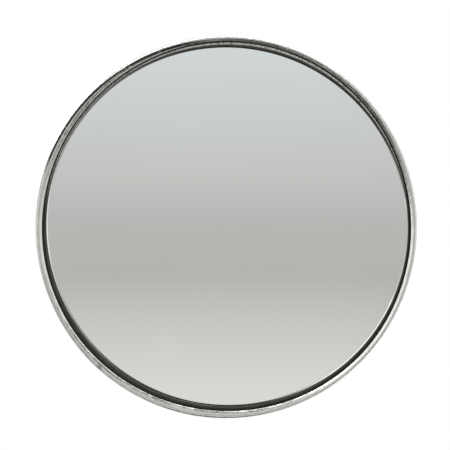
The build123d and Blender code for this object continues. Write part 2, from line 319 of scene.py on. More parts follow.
def hem_shift(rim, clock):
    """How much further out than its circle the hem of the hoop's lip lies at a clock angle."""
    moved = rim.hem_follows * rim.off_centre * math.cos(clock - rim.off_centre_clock)
    return moved + rim.waves * math.cos(3 * (clock - rim.waves_clock))


def opening_shift(rim, clock):
    """How much further out than its circle the rubber's opening lies at a clock angle."""
    moved = rim.off_centre * math.cos(clock - rim.off_centre_clock)
    return moved + rim.oval * math.cos(2 * (clock - rim.oval_clock))


# ---------------------------------------------------------------- shader helpers
def feed(tree, target, value):
    """Links a socket to a target input, or sets the input's own value."""
    if isinstance(value, bpy.types.NodeSocket):
        tree.links.new(value, target)
    else:
        target.default_value = value


def add_node(tree, kind, inputs, **settings):
    """Adds a node, sets its own settings, and links or sets its inputs."""
    made = tree.nodes.new(kind)
    for key, value in settings.items():
        setattr(made, key, value)
    for key, value in inputs.items():
        feed(tree, made.inputs[key], value)
    return made


def worked(tree, operation, *values):
    """The result of one maths step on values or sockets."""
    return add_node(tree, "ShaderNodeMath", dict(enumerate(values)), operation=operation).outputs[0]


def vector_step(tree, operation, *values):
    """The outputs of one vector step on values or sockets."""
    return add_node(tree, "ShaderNodeVectorMath", dict(enumerate(values)), operation=operation).outputs


def split(tree, place):
    """The X, Y and Z of a place or a direction."""
    return add_node(tree, "ShaderNodeSeparateXYZ", {"Vector": place}).outputs


def mapped(tree, value, low, high, to_low=0.0, to_high=1.0, smooth=False):
    """A value's range from low to high, mapped onto another range and held inside it."""
    inputs = {"Value": value, "From Min": low, "From Max": high, "To Min": to_low, "To Max": to_high}
    made = add_node(tree, "ShaderNodeMapRange", inputs)
    if smooth:
        made.interpolation_type = "SMOOTHSTEP"
    return made.outputs["Result"]


def noise(tree, place, scale, detail, **others):
    """The outputs of fractal noise at a place."""
    inputs = {"Vector": place, "Scale": scale, "Detail": detail, **others}
    return add_node(tree, "ShaderNodeTexNoise", inputs).outputs


def blend(tree, factor, first, second):
    """Mixes two colours by a factor socket."""
    mixed = add_node(tree, "ShaderNodeMix", {"Factor": factor}, data_type="RGBA")
    for key, value in ((6, first), (7, second)):
        feed(tree, mixed.inputs[key], (*value, 1.0) if isinstance(value, tuple) else value)
    return mixed.outputs[2]


def spread(tree, mask, low, high):
    """Maps a 0 to 1 mask onto a range of values."""
    return mapped(tree, mask, 0.0, 1.0, low, high)


def bump(tree, shader, height, strength, distance):
    """Feeds a height through a Bump node to the shader's normal."""
    relief = add_node(tree, "ShaderNodeBump", {"Height": height, "Strength": strength, "Distance": distance})
    tree.links.new(relief.outputs["Normal"], shader.inputs["Normal"])


def colour_ramp(tree, factor, stops):
    """A colour ramp through the given places and colours."""
    made = add_node(tree, "ShaderNodeValToRGB", {"Fac": factor})
    elements = made.color_ramp.elements
    elements.remove(elements[-1])
    for i, (place, colour) in enumerate(stops):
        stop = elements.new(place) if i else elements[0]
        stop.position = place
        stop.color = (*colour, 1.0)
    return made.outputs["Color"]


def times(colour, share):
    """A colour made darker or lighter."""
    return tuple(channel * share for channel in colour)


# ---------------------------------------------------------------- shared effects
def new_group(name, inputs, outputs):
    """A shader node group with named sockets. Inputs with no number are vectors."""
    group = bpy.data.node_groups.new(name, "ShaderNodeTree")
    for label, value in inputs.items():
        kind = "NodeSocketVector" if value is None else "NodeSocketFloat"
        socket = group.interface.new_socket(name=label, in_out="INPUT", socket_type=kind)
        if value is not None:
            socket.default_value = value
    for label, kind in outputs.items():
        group.interface.new_socket(name=label, in_out="OUTPUT", socket_type=kind)
    return group, group.nodes.new("NodeGroupInput").outputs, group.nodes.new("NodeGroupOutput").inputs


def blotch_group():
    """Soft uneven patches, as weather leaves on bare metal: a mask from 0 to 1."""
    group, given, out = new_group(
        "Weather Blotches", {"Position": None, "Scale": 40.0, "Contrast": 0.3}, {"Mask": "NodeSocketFloat"}
    )
    broad = noise(group, given["Position"], given["Scale"], 6.0, Roughness=0.62)["Fac"]
    low = worked(group, "SUBTRACT", 0.5, given["Contrast"])
    high = worked(group, "ADD", 0.5, given["Contrast"])
    feed(group, out["Mask"], mapped(group, broad, low, high, smooth=True))
    return group


def spangle_group():
    """Crystal pattern of a zinc coating: a tone for each crystal, and a height for its faint relief."""
    group, given, out = new_group(
        "Zinc Spangle",
        {"Position": None, "Scale": 120.0},
        {"Tone": "NodeSocketFloat", "Height": "NodeSocketFloat"},
    )
    bend = noise(group, given["Position"], 220.0, 3.0)["Color"]
    sway = add_node(group, "ShaderNodeVectorMath", {0: bend, "Scale": 0.006}, operation="SCALE")
    moved = vector_step(group, "ADD", given["Position"], sway.outputs[0])[0]
    cells = {"Vector": moved, "Scale": given["Scale"]}
    crystals = add_node(group, "ShaderNodeTexVoronoi", cells, feature="F1")
    tone = add_node(group, "ShaderNodeSeparateColor", {"Color": crystals.outputs["Color"]}).outputs
    rays = noise(group, moved, 900.0, 2.0, Distortion=1.5)["Fac"]
    feed(group, out["Tone"], tone["Red"])
    feed(group, out["Height"], worked(group, "ADD", tone["Green"], rays))
    return group


def round_axis_group():
    """Position unrolled round the mirror's axis: along the rim, across it, and along the axis."""
    group, given, out = new_group(
        "Round The Axis",
        {"Position": None, "Start": 0.0, "Along": 0.1},
        {"Unrolled": "NodeSocketVector", "Clock": "NodeSocketFloat", "Radius": "NodeSocketFloat"},
    )
    turned = add_node(
        group, "ShaderNodeVectorRotate", {"Vector": given["Position"], "Angle": given["Start"]},
        rotation_type="Y_AXIS",
    )
    parts = split(group, turned.outputs[0])
    clock = worked(group, "ARCTAN2", parts["X"], parts["Z"])
    flat = add_node(group, "ShaderNodeCombineXYZ", {"X": parts["X"], "Y": parts["Z"]})
    radius = vector_step(group, "LENGTH", flat.outputs[0])["Value"]
    along = worked(group, "MULTIPLY", clock, given["Along"])
    unrolled = add_node(group, "ShaderNodeCombineXYZ", {"X": along, "Y": radius, "Z": parts["Y"]})
    feed(group, out["Unrolled"], unrolled.outputs[0])
    feed(group, out["Clock"], clock)
    feed(group, out["Radius"], radius)
    return group


def grain_group():
    """Fine drawn lines along an unrolled position: a mask from 0 to 1."""
    group, given, out = new_group(
        "Rolled Grain", {"Unrolled": None, "Lines": 1500.0}, {"Mask": "NodeSocketFloat"}
    )
    thin = vector_step(group, "MULTIPLY", given["Unrolled"], (0.13, 1.0, 1.0))[0]
    lines = noise(group, thin, given["Lines"], 3.0, Roughness=0.7)["Fac"]
    feed(group, out["Mask"], mapped(group, lines, 0.35, 0.65))
    return group


def scratch_group():
    """Sparse fine scratches in crossing directions: a height that dips along each one."""
    group, given, out = new_group(
        "Hair Scratches", {"Position": None, "Amount": 0.5}, {"Height": "NodeSocketFloat"}
    )
    size = 22.0
    cut = 0.0
    for lean, stretch in ((0.5, 54.0), (1.9, 84.0), (2.7, 42.0)):
        stretched = {"Rotation": (0.0, lean, 0.0), "Scale": (size, size, size * stretch)}
        turned = add_node(group, "ShaderNodeMapping", {"Vector": given["Position"], **stretched})
        streak = noise(group, turned.outputs[0], 1.0, 1.0)["Fac"]
        cut = worked(group, "MAXIMUM", cut, mapped(group, streak, 0.72, 0.78))
    depth = worked(group, "MULTIPLY", cut, given["Amount"])
    feed(group, out["Height"], worked(group, "MULTIPLY", depth, -1.0))
    return group


def spot_group():
    """A soft-edged spot with a ragged outline round a point: a mask from 0 to 1."""
    group, given, out = new_group(
        "Ground Spot", {"Position": None, "Centre": None, "Radius": 0.005}, {"Mask": "NodeSocketFloat"}
    )
    ragged = noise(group, given["Position"], 500.0, 3.0)["Fac"]
    away = vector_step(group, "DISTANCE", given["Position"], given["Centre"])["Value"]
    torn = worked(group, "ADD", worked(group, "DIVIDE", away, given["Radius"]), ragged)
    feed(group, out["Mask"], mapped(group, torn, 1.25, 0.65))
    return group


def skin_group():
    """Uneven skin of rolled metal at two sizes, along an unrolled position: a height."""
    group, given, out = new_group(
        "Rolled Skin", {"Unrolled": None, "Scale": 380.0}, {"Height": "NodeSocketFloat"}
    )
    coarse = noise(group, given["Unrolled"], given["Scale"], 1.0)["Fac"]
    finer = worked(group, "MULTIPLY", given["Scale"], 3.1)
    fine = noise(group, given["Unrolled"], finer, 1.0)["Fac"]
    feed(group, out["Height"], worked(group, "ADD", coarse, worked(group, "MULTIPLY", fine, 0.3)))
    return group


def dust_and_painted_sheen_group():
    """Pale colour on surfaces that face up in the upper half, standing for settled dust and a painted sheen:
    a mask from 0 to 1.
    """
    group, given, out = new_group("Dust And Painted Sheen", {"Position": None}, {"Mask": "NodeSocketFloat"})
    shape = group.nodes.new("ShaderNodeNewGeometry")
    upward = mapped(group, split(group, shape.outputs["Normal"])["Z"], 0.06, 0.30)
    upper_half = mapped(group, split(group, given["Position"])["Z"], -0.02, 0.08)
    ragged = noise(group, given["Position"], 330.0, 3.0)["Fac"]
    high = worked(group, "MULTIPLY", upward, upper_half)
    feed(group, out["Mask"], worked(group, "MULTIPLY", high, mapped(group, ragged, 0.26, 0.52)))
    return group


def painted_dark_reflection_group():
    """Painted dark reflection in a band along one stretch of the rim, which drifts inwards: a mask from 0 to
    1.
    """
    group, given, out = new_group(
        "Painted Dark Reflection",
        {
            "Unrolled": None, "Clock": 0.0, "Radius": 0.0, "Middle": 0.0,
            "Reach": 0.6, "Centre": 0.2, "Drift": 0.003,
        },
        {"Mask": "NodeSocketFloat"},
    )
    off = worked(group, "SUBTRACT", given["Clock"], given["Middle"])
    near = mapped(group, worked(group, "ABSOLUTE", off), given["Reach"], 0.5)
    outside = worked(group, "SUBTRACT", given["Radius"], given["Centre"])
    drifted = worked(group, "ADD", outside, worked(group, "MULTIPLY", off, given["Drift"]))
    band = mapped(group, worked(group, "ABSOLUTE", drifted), 0.0017, 0.0011)
    ragged = noise(group, given["Unrolled"], 190.0, 4.0)["Fac"]
    both = worked(group, "MULTIPLY", near, band)
    feed(group, out["Mask"], worked(group, "MULTIPLY", both, mapped(group, ragged, 0.24, 0.40)))
    return group


def wear_and_corner_shade_group():
    """Worn outside edges, and painted shade in hollow corners, from the surface's own shape."""
    group, given, out = new_group(
        "Edge Wear And Corner Shade", {"Position": None}, {"Worn": "NodeSocketFloat", "Painted Corner Shade": "NodeSocketFloat"}
    )
    shape = group.nodes.new("ShaderNodeNewGeometry")
    uneven = noise(group, given["Position"], 260.0, 4.0)["Fac"]
    for label, low, high in (("Worn", 0.53, 0.62), ("Painted Corner Shade", 0.48, 0.42)):
        found = mapped(group, shape.outputs["Pointiness"], low, high)
        feed(group, out[label], worked(group, "MULTIPLY", found, uneven))
    return group


shared = {}


def use_group(tree, maker, **inputs):
    """Places one of the shared node groups, made once, and gives its outputs."""
    if maker not in shared:
        shared[maker] = maker()
    placed = tree.nodes.new("ShaderNodeGroup")
    placed.node_tree = shared[maker]
    for key, value in inputs.items():
        feed(tree, placed.inputs[key], value)
    return placed.outputs


def new_material(name, **constants):
    """A material with its Principled shader's constant values set, its tree and its object position."""
    material = bpy.data.materials.new(name)
    material.use_nodes = True
    tree = material.node_tree
    shader = tree.nodes["Principled BSDF"]
    for key, value in constants.items():
        shader.inputs[key.replace("_", " ")].default_value = value
    position = tree.nodes.new("ShaderNodeTexCoord").outputs["Object"]
    return material, tree, shader, position


# ---------------------------------------------------------------- materials
def silvered_face(face):
    """Silvered sheet with a trace of haze and hair scratches."""
    material, tree, shader, position = new_material("silvered_face", Metallic=1.0)
    haze = use_group(tree, blotch_group, Position=position, Scale=9.0, Contrast=0.35)["Mask"]
    scratches = use_group(tree, scratch_group, Position=position, Amount=0.35)
    silver = tuple(face.silver)
    feed(tree, shader.inputs["Base Color"], blend(tree, haze, silver, times(silver, 0.985)))
    feed(tree, shader.inputs["Roughness"], spread(tree, haze, 0.055, 0.085))
    bump(tree, shader, scratches["Height"], 0.05, 0.00002)
    return material


def rolled_steel(rim):
    """Rolled hoop metal: uneven skin, drawn grain, dull blotches, a painted dark reflection along one stretch
    of the outer bend, and a ground patch at the weld.
    """
    material, tree, shader, position = new_material("rolled_steel", Metallic=1.0)
    steel = tuple(rim.steel)
    blotches = use_group(tree, blotch_group, Position=position, Scale=70.0, Contrast=0.22)["Mask"]
    fine = use_group(tree, blotch_group, Position=position, Scale=520.0, Contrast=0.2)["Mask"]
    unrolled = use_group(
        tree, round_axis_group, Position=position, Start=math.pi - rim.seam_clock, Along=0.09
    )
    grain = use_group(tree, grain_group, Unrolled=unrolled["Unrolled"], Lines=1500.0)["Mask"]
    middle = hoop_radius - rim.lip / 2
    weld = (middle * math.sin(rim.seam_clock), flange_back_y - hoop_front, middle * math.cos(rim.seam_clock))
    ground = use_group(tree, spot_group, Position=position, Centre=weld, Radius=0.006)["Mask"]
    # Painted dark reflection: a near-black band on the outer bend along one stretch of the rim.
    grime_and_painted_reflection = use_group(
        tree, painted_dark_reflection_group,
        Unrolled=unrolled["Unrolled"], Clock=unrolled["Clock"], Radius=unrolled["Radius"],
        Middle=(rim.dark_reflection_clock - rim.seam_clock) % (2 * math.pi) - math.pi, Reach=rim.dark_reflection_reach,
        Centre=hoop_radius - rim.corner * 1.28, Drift=0.0036,
    )["Mask"]
    broad = blend(tree, blotches, steel, times(steel, 0.86))
    mottled = blend(tree, fine, broad, times(steel, 0.80))
    drawn = blend(tree, grain, mottled, steel)
    tinted = blend(tree, ground, drawn, (steel[0] * 0.42, steel[1] * 0.38, steel[2] * 0.34))
    # Here the painted dark reflection takes the steel almost to black.
    feed(tree, shader.inputs["Base Color"], blend(tree, grime_and_painted_reflection, tinted, times(steel, 0.07)))
    feed(tree, shader.inputs["Roughness"], spread(tree, blotches, 0.13, 0.22))
    skin = use_group(tree, skin_group, Unrolled=unrolled["Unrolled"], Scale=380.0)
    bump(tree, shader, skin["Height"], 1.0, 0.0003)
    return material


def moulded_rubber(rim):
    """Matt black rubber with a bloom in patches, pale dust and a painted sheen where it faces up, and painted
    shade on the groove floor.
    """
    material, tree, shader, position = new_material(
        "moulded_rubber", Specular_IOR_Level=0.35, Coat_Weight=0.15, Coat_Roughness=0.25
    )
    rubber = tuple(rim.rubber)
    bloom = use_group(tree, blotch_group, Position=position, Scale=60.0, Contrast=0.25)["Mask"]
    dusty = blend(tree, bloom, rubber, times(rubber, 1.7))
    # Pale dust on up-facing rubber, which also serves as a painted sheen along the lip's upper half.
    dust_and_painted_sheen = use_group(tree, dust_and_painted_sheen_group, Position=position)["Mask"]
    dusted_and_sheened = blend(tree, dust_and_painted_sheen, dusty, (0.74, 0.73, 0.70))
    # Painted shade: the groove's floor between hoop and rubber is made nearly black.
    groove_floor = flange_back_y - rim.groove_floor
    deep = mapped(tree, split(tree, position)["Y"], groove_floor - 0.0003, groove_floor + 0.0002)
    feed(tree, shader.inputs["Base Color"], blend(tree, deep, dusted_and_sheened, times(rubber, 0.1)))
    feed(tree, shader.inputs["Roughness"], spread(tree, bloom, 0.22, 0.42))
    bump(tree, shader, noise(tree, position, 2600.0, 3.0)["Fac"], 0.25, 0.00008)
    return material


def galvanised(name, back, spangle_scale, dullness):
    """Zinc-coated steel: crystal tones, dull blotches, worn edges and painted shade in corners."""
    material, tree, shader, position = new_material(name, Metallic=1.0)
    zinc = tuple(back.zinc)
    spangle = use_group(tree, spangle_group, Position=position, Scale=spangle_scale)
    blotches = use_group(tree, blotch_group, Position=position, Scale=28.0, Contrast=0.2)["Mask"]
    wear_and_corner_shade = use_group(tree, wear_and_corner_shade_group, Position=position)
    crystals = blend(tree, spangle["Tone"], times(zinc, 0.74), times(zinc, 1.16))
    dulled = blend(tree, blotches, crystals, times(zinc, dullness))
    # Painted shade: hollow corners are darkened nearly to black.
    corner_shaded = blend(tree, wear_and_corner_shade["Painted Corner Shade"], dulled, (0.10, 0.095, 0.085))
    feed(tree, shader.inputs["Base Color"], blend(tree, wear_and_corner_shade["Worn"], corner_shaded, times(zinc, 1.3)))
    feed(tree, shader.inputs["Roughness"], spread(tree, blotches, 0.36, 0.56))
    bump(tree, shader, spangle["Height"], 0.12, 0.00006)
    return material


def zinc_plating(back):
    """Bright zinc plating with a warm passivated cast."""
    material, tree, shader, position = new_material("zinc_plating", Metallic=1.0)
    plating = tuple(back.plating)
    cast = use_group(tree, blotch_group, Position=position, Scale=190.0, Contrast=0.25)["Mask"]
    wear_and_corner_shade = use_group(tree, wear_and_corner_shade_group, Position=position)
    tinted = blend(tree, cast, plating, (plating[0], plating[1] * 0.93, plating[2] * 0.72))
    # Painted shade: hollow corners are darkened nearly to black.
    feed(tree, shader.inputs["Base Color"], blend(tree, wear_and_corner_shade["Painted Corner Shade"], tinted, (0.12, 0.11, 0.09)))
    feed(tree, shader.inputs["Roughness"], spread(tree, cast, 0.22, 0.38))
    bump(tree, shader, noise(tree, position, 1800.0, 2.0)["Fac"], 0.1, 0.00003)
    return material


def natural_nylon(back):
    """Natural nylon, slightly waxy and a little grubby."""
    material, tree, shader, position = new_material(
        "natural_nylon", Subsurface_Weight=0.15, Subsurface_Scale=0.002
    )
    colour = tuple(back.nylon)
    # On the nylon this mask is grubbiness only.
    grime_and_painted_reflection = use_group(tree, blotch_group, Position=position, Scale=160.0, Contrast=0.25)["Mask"]
    feed(tree, shader.inputs["Base Color"], blend(tree, grime_and_painted_reflection, colour, times(colour, 0.8)))
    feed(tree, shader.inputs["Roughness"], spread(tree, grime_and_painted_reflection, 0.38, 0.5))
    return material


def material_of(name):
    """A finished material by name, made by the operator that first needs it."""
    settings = bpy.context.scene.convex_mirror
    recipes = {
        "silvered_face": lambda: silvered_face(settings.face),
        "rolled_steel": lambda: rolled_steel(settings.rim),
        "moulded_rubber": lambda: moulded_rubber(settings.rim),
        "dish_zinc": lambda: galvanised("dish_zinc", settings.back, 150.0, 0.9),
        "dipped_zinc": lambda: galvanised("dipped_zinc", settings.back, 190.0, 0.72),
        "weld_zinc": lambda: galvanised("weld_zinc", settings.back, 600.0, 0.6),
        "zinc_plating": lambda: zinc_plating(settings.back),
        "natural_nylon": lambda: natural_nylon(settings.back),
    }
    return bpy.data.materials.get(name) or recipes[name]()


# ---------------------------------------------------------------- mirror head
class CONVEX_MIRROR_OT_face(Operator):
    """Domed mirror sheet with its edge turned up beside the rubber"""

    bl_idname = "convex_mirror.face"
    bl_label = "Mirror face"

    def execute(self, context):
        face = context.scene.convex_mirror.face
        rim = context.scene.convex_mirror.rim
        edge = hoop_radius - rim.cover - face.fold
        centre = dome_top - face.dome_radius

        def dome(radius):
            return centre + math.sqrt(face.dome_radius**2 - radius**2)

        rings = 90
        front = [(edge * i / rings, dome(edge * i / rings)) for i in range(rings + 1)]
        lean = math.asin(edge / face.dome_radius)
        bend_centre = (
            edge + face.fold_bend * math.sin(lean),
            front[-1][1] + face.fold_bend * math.cos(lean),
        )
        front += arc(
            bend_centre, face.fold_bend, 270 - math.degrees(lean), 270 + math.degrees(face.fold_slope), 6
        )[1:]
        rise = (edge + face.fold - front[-1][0]) * math.tan(face.fold_slope)
        front.append((edge + face.fold, front[-1][1] + rise))
        # The flange lies flat from here out, hidden under the rubber.
        flange = edge + face.fold + 0.0004
        back = [(flange, face.sheet), (sheet_radius, face.sheet), (sheet_radius, 0.0), (edge, 0.0)]
        inner = face.dome_radius - face.sheet
        back += [(r, centre + math.sqrt(inner**2 - r**2)) for r in (edge * i / 12 for i in range(11, -1, -1))]

        def follow_opening(clock, radius, height):
            """Moves the turned edge with the rubber's opening, and the dome's rings with it."""
            move = opening_shift(rim, clock)
            if height <= face.sheet or radius > flange:
                return radius, height
            if radius > edge:
                return radius + move, height + dome(edge + move) - dome(edge)
            on_front = abs(height - dome(radius)) < 1e-6
            stretched = radius * (edge + move) / edge
            return (stretched, dome(stretched)) if on_front else (radius, height)

        bm = bmesh.new()
        turn(bm, front + back, mirror_axis, full_circle(384), closed=False, shift=follow_opening)
        silver = material_of("silvered_face")
        finished("mirror_face", bm, silver, "mirror_head", ["mirror_lens"], 50)
        return {"FINISHED"}


class CONVEX_MIRROR_OT_rubber_edge(Operator):
    """Rubber channel with a rounded lip, sitting a little off centre"""

    bl_idname = "convex_mirror.rubber_edge"
    bl_label = "Rubber edge"

    def execute(self, context):
        rim = context.scene.convex_mirror.rim
        face_edge = hoop_radius - rim.cover
        lip_end = hoop_radius - rim.lip
        crown = (lip_end - rim.groove - face_edge) / 2
        floor = context.scene.convex_mirror.face.sheet + 0.0002
        lip = [(face_edge, floor)]
        lip += rounded(
            [
                (face_edge, floor + 0.0003),
                (face_edge + 0.0002, rubber_front - 0.0004),
                (face_edge + crown * 0.9, rubber_front),
                (face_edge + crown * 2, rubber_front - crown * 1.0),
                (face_edge + crown * 2, floor),
            ],
            [0.0003, 0.0004, 0.0003],
            5,
        )
        # Where the hoop hides it, the rubber follows the hoop's corners and clears its wall by a hair.
        inset, corner, outside = 0.0006, 0.0018, rubber_radius - 0.0002
        rest = [
            (lip_end + inset, floor),
            (lip_end + 0.0010, rubber_front - 0.0010),
            (rubber_radius - corner, rubber_front - 0.0004),
            (outside, rubber_front - 0.0022),
            (outside, rubber_back + corner),
            (rubber_radius - corner, rubber_back),
            (face_edge + inset, rubber_back),
            (face_edge, rubber_back + inset),
            (face_edge, rubber_back + corner),
        ]

        def follow_opening(clock, radius, height):
            """Moves the lip's inside with the opening and its outside with the hoop's hem."""
            if radius > lip_end:
                return radius, height
            near = max(0.0, 1 - (radius - face_edge) / (2 * crown))
            return radius + near * opening_shift(rim, clock) + (1 - near) * hem_shift(rim, clock), height

        bm = bmesh.new()
        turn(bm, lip + rest, mirror_axis, full_circle(360), shift=follow_opening)
        black = material_of("moulded_rubber")
        finished("rubber_edge", bm, black, "mirror_head", ["edge_gasket"], 50)
        return {"FINISHED"}


class CONVEX_MIRROR_OT_hoop(Operator):
    """Rolled steel hoop with its welded seam"""

    bl_idname = "convex_mirror.hoop"
    bl_label = "Rim hoop"

    def execute(self, context):
        rim = context.scene.convex_mirror.rim
        half = rim.metal / 2
        wall = hoop_radius - half
        lip_edge = wall - rim.lip + rim.metal
        back = hoop_back + half
        low = rubber_front + half * 0.9
        line = rounded(
            [(lip_edge, back), (wall, back), (wall, low + rim.slope), (lip_edge, low)],
            [rim.corner, rim.corner],
            10,
        )
        outline = ribbon(evenly(line, 0.0015), rim.metal)
        seam = rim.seam_clock
        near_seam = [seam + math.radians(0.07 * i) for i in range(-8, 9)]
        clocks = [clock for clock in full_circle(480) if abs(clock - seam) > math.radians(0.6)]
        bend_end, lip_run = hoop_radius - 0.0022, 0.0045

        def dented(clock, radius, height):
            """Sinks the ground weld a little, sways the hoop as rolling leaves it, and moves the hem."""
            weld = math.exp(-(((clock - seam) / math.radians(0.22)) ** 2))
            sway = 0.00006 * math.sin(5 * clock + 0.7) + 0.00004 * math.sin(11 * clock + 2.1)
            inward = min(1.0, max(0.0, (bend_end - radius) / lip_run)) if height > 0 else 0.0
            moved = hem_shift(rim, clock) * inward
            return radius - 0.00012 * weld + sway + moved, height - 0.00016 * weld + 0.7 * sway

        bm = bmesh.new()
        turn(bm, outline, mirror_axis, sorted(clocks + near_seam), shift=dented)
        steel = material_of("rolled_steel")
        finished("rolled_hoop", bm, steel, "mirror_head", ["rim_hoop"], 60)
        return {"FINISHED"}


class CONVEX_MIRROR_OT_dish(Operator):
    """Pressed dish behind the mirror, with drain holes at its lowest point"""

    bl_idname = "convex_mirror.dish"
    bl_label = "Back dish"

    def execute(self, context):
        back = context.scene.convex_mirror.back
        rim = context.scene.convex_mirror.rim
        half = back.metal / 2
        wall_top = hoop_radius - rim.cover - back.wall_inset
        wall_foot = wall_top - back.wall_run
        centre = dish_back + half
        line = rounded(
            [
                (sheet_radius, -half),
                (wall_top, -half),
                (wall_foot, -half * 2 - back.wall_drop),
                (back.flat, centre),
                (0.0, centre),
            ],
            [0.004, 0.025, 0.040],
            12,
        )
        outer = ribbon(evenly(line, 0.004), back.metal)
        bm = bmesh.new()
        turn(bm, [(max(r, 0.0), h) for r, h in outer], mirror_axis, full_circle(288))
        zinc = material_of("dish_zinc")
        dish = finished("back_dish", bm, zinc, "mirror_head", ["back_shell"], 40)
        self.drill(dish, (wall_top + wall_foot) / 2, back)
        return {"FINISHED"}

    def drill(self, dish, radius, back):
        """Cuts the drain holes, parallel to the mirror's axis."""
        bm = bmesh.new()
        for step in (-1, 0, 1):
            clock = math.pi + step * back.drain_step
            spot = Vector((radius * math.sin(clock), radius * math.cos(clock), -back.wall_drop * 2 / 3))
            bmesh.ops.create_cone(
                bm, cap_ends=True, segments=32, radius1=back.drain / 2, radius2=back.drain / 2, depth=0.03,
                matrix=mirror_axis @ Matrix.Translation(spot),
            )
        mesh = bpy.data.meshes.new("drain_cutter")
        bm.to_mesh(mesh)
        bm.free()
        cutter = bpy.data.objects.new("drain_cutter", mesh)
        bpy.context.scene.collection.objects.link(cutter)
        cut = dish.modifiers.new("drain_holes", "BOOLEAN")
        cut.object = cutter
        cut.solver = "EXACT"
        bpy.context.view_layer.update()
        evaluated = dish.evaluated_get(bpy.context.evaluated_depsgraph_get())
        drilled = bpy.data.meshes.new_from_object(evaluated)
        dish.modifiers.clear()
        dish.data = drilled
        drilled.shade_smooth()
        drilled.set_sharp_from_angle(angle=math.radians(40))
        bpy.data.objects.remove(cutter)


# ---------------------------------------------------------------- bracket
def softened(node, name, material, width):
    """A copy of a bracket node with its sharp edges rounded over, standing for the node."""
    source = frame["nodes"][node]
    bm = bmesh.new()
    bm.from_mesh(source.data)
    bmesh.ops.remove_doubles(bm, verts=bm.verts, dist=1e-6)
    bmesh.ops.dissolve_limit(
        bm, angle_limit=math.radians(0.6), verts=bm.verts, edges=bm.edges, use_dissolve_boundaries=False
    )
    sharp = [e for e in bm.edges if len(e.link_faces) == 2 and e.calc_face_angle() > math.radians(32)]
    bmesh.ops.bevel(
        bm, geom=sharp, offset=width, segments=3, profile=0.5, affect="EDGES", clamp_overlap=True,
        offset_type="OFFSET",
    )
    finished(name, bm, material, source["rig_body"], [node], 40)


class CONVEX_MIRROR_OT_bracket(Operator):
    """Yoke, arm and clamp strips with softened edges"""

    bl_idname = "convex_mirror.bracket"
    bl_label = "Bracket"

    def execute(self, context):
        zinc = material_of("dipped_zinc")
        for node in ("yoke", "swivel_arm", "front_clamp", "rear_clamp"):
            softened(node, node + "_soft", zinc, width=0.0008)
        softened("stiffener_plate", "stiffener_soft", material_of("dish_zinc"), width=0.0006)
        softened("yoke_pad", "pad_soft", material_of("moulded_rubber"), width=0.0005)
        return {"FINISHED"}


# ---------------------------------------------------------------- fasteners
def standing(spot, normal):
    """A place at a spot, whose Z axis is the given normal."""
    return Matrix.Translation(spot) @ Vector(normal).to_track_quat("Z", "Y").to_matrix().to_4x4()


def hex_shift(size, height, both_ends):
    """Turns a round outline into a hexagon wherever its radius is half the width across flats."""
    half, face = size.half, size.chamfer

    def shift(clock, radius, level):
        if abs(radius - half) > 1e-6:
            return radius, level
        across = half / math.cos((clock + math.pi / 6) % (math.pi / 3) - math.pi / 6)
        lost = (across - face) * math.tan(math.radians(30))
        if level > height * 0.6:
            return across, level - lost
        return across, level + lost if both_ends else level

    return shift


def add_bolt(bm, size, place, grip, spin):
    """A hex bolt with its head on the place's plane and a rolled thread down to its chamfered tip."""
    half, face, shank = size.half, size.chamfer, size.diameter / 2
    stand = place @ Matrix.Rotation(spin, 4, "Z")
    sunk = size.head - 0.0002
    head = [(0.0, sunk), (face * 0.6, sunk), (face * 0.66, size.head), (face, size.head)]
    head += [(half, size.head), (half, 0.0003), (face, 0.0), (shank, 0.0)]
    turn(bm, head, stand, full_circle(72), closed=False, shift=hex_shift(size, size.head, False))
    past_nut, under_stack = 0.003, 0.002
    tip = -(grip + past_nut)
    threaded = size.nut + size.spring + size.washer + past_nut + under_stack
    steps = round(threaded / size.pitch * 6)
    shank_line = [(shank, 0.0), (shank, tip + threaded + 0.0004)]
    shank_line += [(shank, tip + threaded * (1 - i / steps)) for i in range(steps)]
    shank_line += [(shank * 0.8, tip), (0.0, tip)]

    def thread(clock, radius, level):
        """Sinks the thread's valleys along a helix, shallower towards the tip."""
        if level > tip + threaded or radius < shank * 0.9:
            return radius, level
        turn_share = (level / size.pitch - clock / (2 * math.pi)) % 1.0
        fade = min(1.0, (level - tip) / size.pitch + 0.35)
        valley = (1 - abs(2 * turn_share - 1)) * size.pitch * 0.55
        return radius * (0.9 + 0.1 * fade) - valley * fade, level

    turn(bm, shank_line, stand, full_circle(36), closed=False, shift=thread)


def add_nut(bm, size, place, spin):
    """A hex nut with both ends chamfered, standing on the place's plane."""
    half, face, bore, mouth = size.half, size.chamfer, size.diameter / 2, 0.0006
    outline = [(bore, mouth), (bore + mouth, 0.0), (face, 0.0), (half, 0.0)]
    outline += [(half, size.nut), (face, size.nut), (bore + mouth, size.nut), (bore, size.nut - mouth)]
    stand = place @ Matrix.Rotation(spin, 4, "Z")
    turn(bm, outline, stand, full_circle(72), shift=hex_shift(size, size.nut, True))


def add_ring(bm, place, inner, outer, height, edge=0.0002):
    """A flat ring with slightly rounded edges, standing on the place's plane."""
    low, high = edge, height - edge
    outline = [(inner, low), (inner + edge, 0.0), (outer - edge, 0.0), (outer, low)]
    outline += [(outer, high), (outer - edge, height), (inner + edge, height), (inner, high)]
    turn(bm, outline, place, full_circle(48))


def add_spring(bm, place, inner, outer, height):
    """A split spring washer: its cut ends stand a little apart."""
    steps = 44
    gap = math.radians(8)
    sections = []
    for i in range(steps + 1):
        clock = gap / 2 + (2 * math.pi - gap) * i / steps
        lift = height * 0.08 * (2 * i / steps - 1)
        corners = ((inner, lift), (outer, lift), (outer, height + lift), (inner, height + lift))
        spots = [Vector((r * math.sin(clock), r * math.cos(clock), h)) for r, h in corners]
        sections.append([bm.verts.new(place @ spot) for spot in spots])
    for before, after in zip(sections, sections[1:]):
        for i in range(4):
            j = (i + 1) % 4
            bm.faces.new((before[i], before[j], after[j], after[i]))
    bm.faces.new(sections[0])
    bm.faces.new(sections[-1])


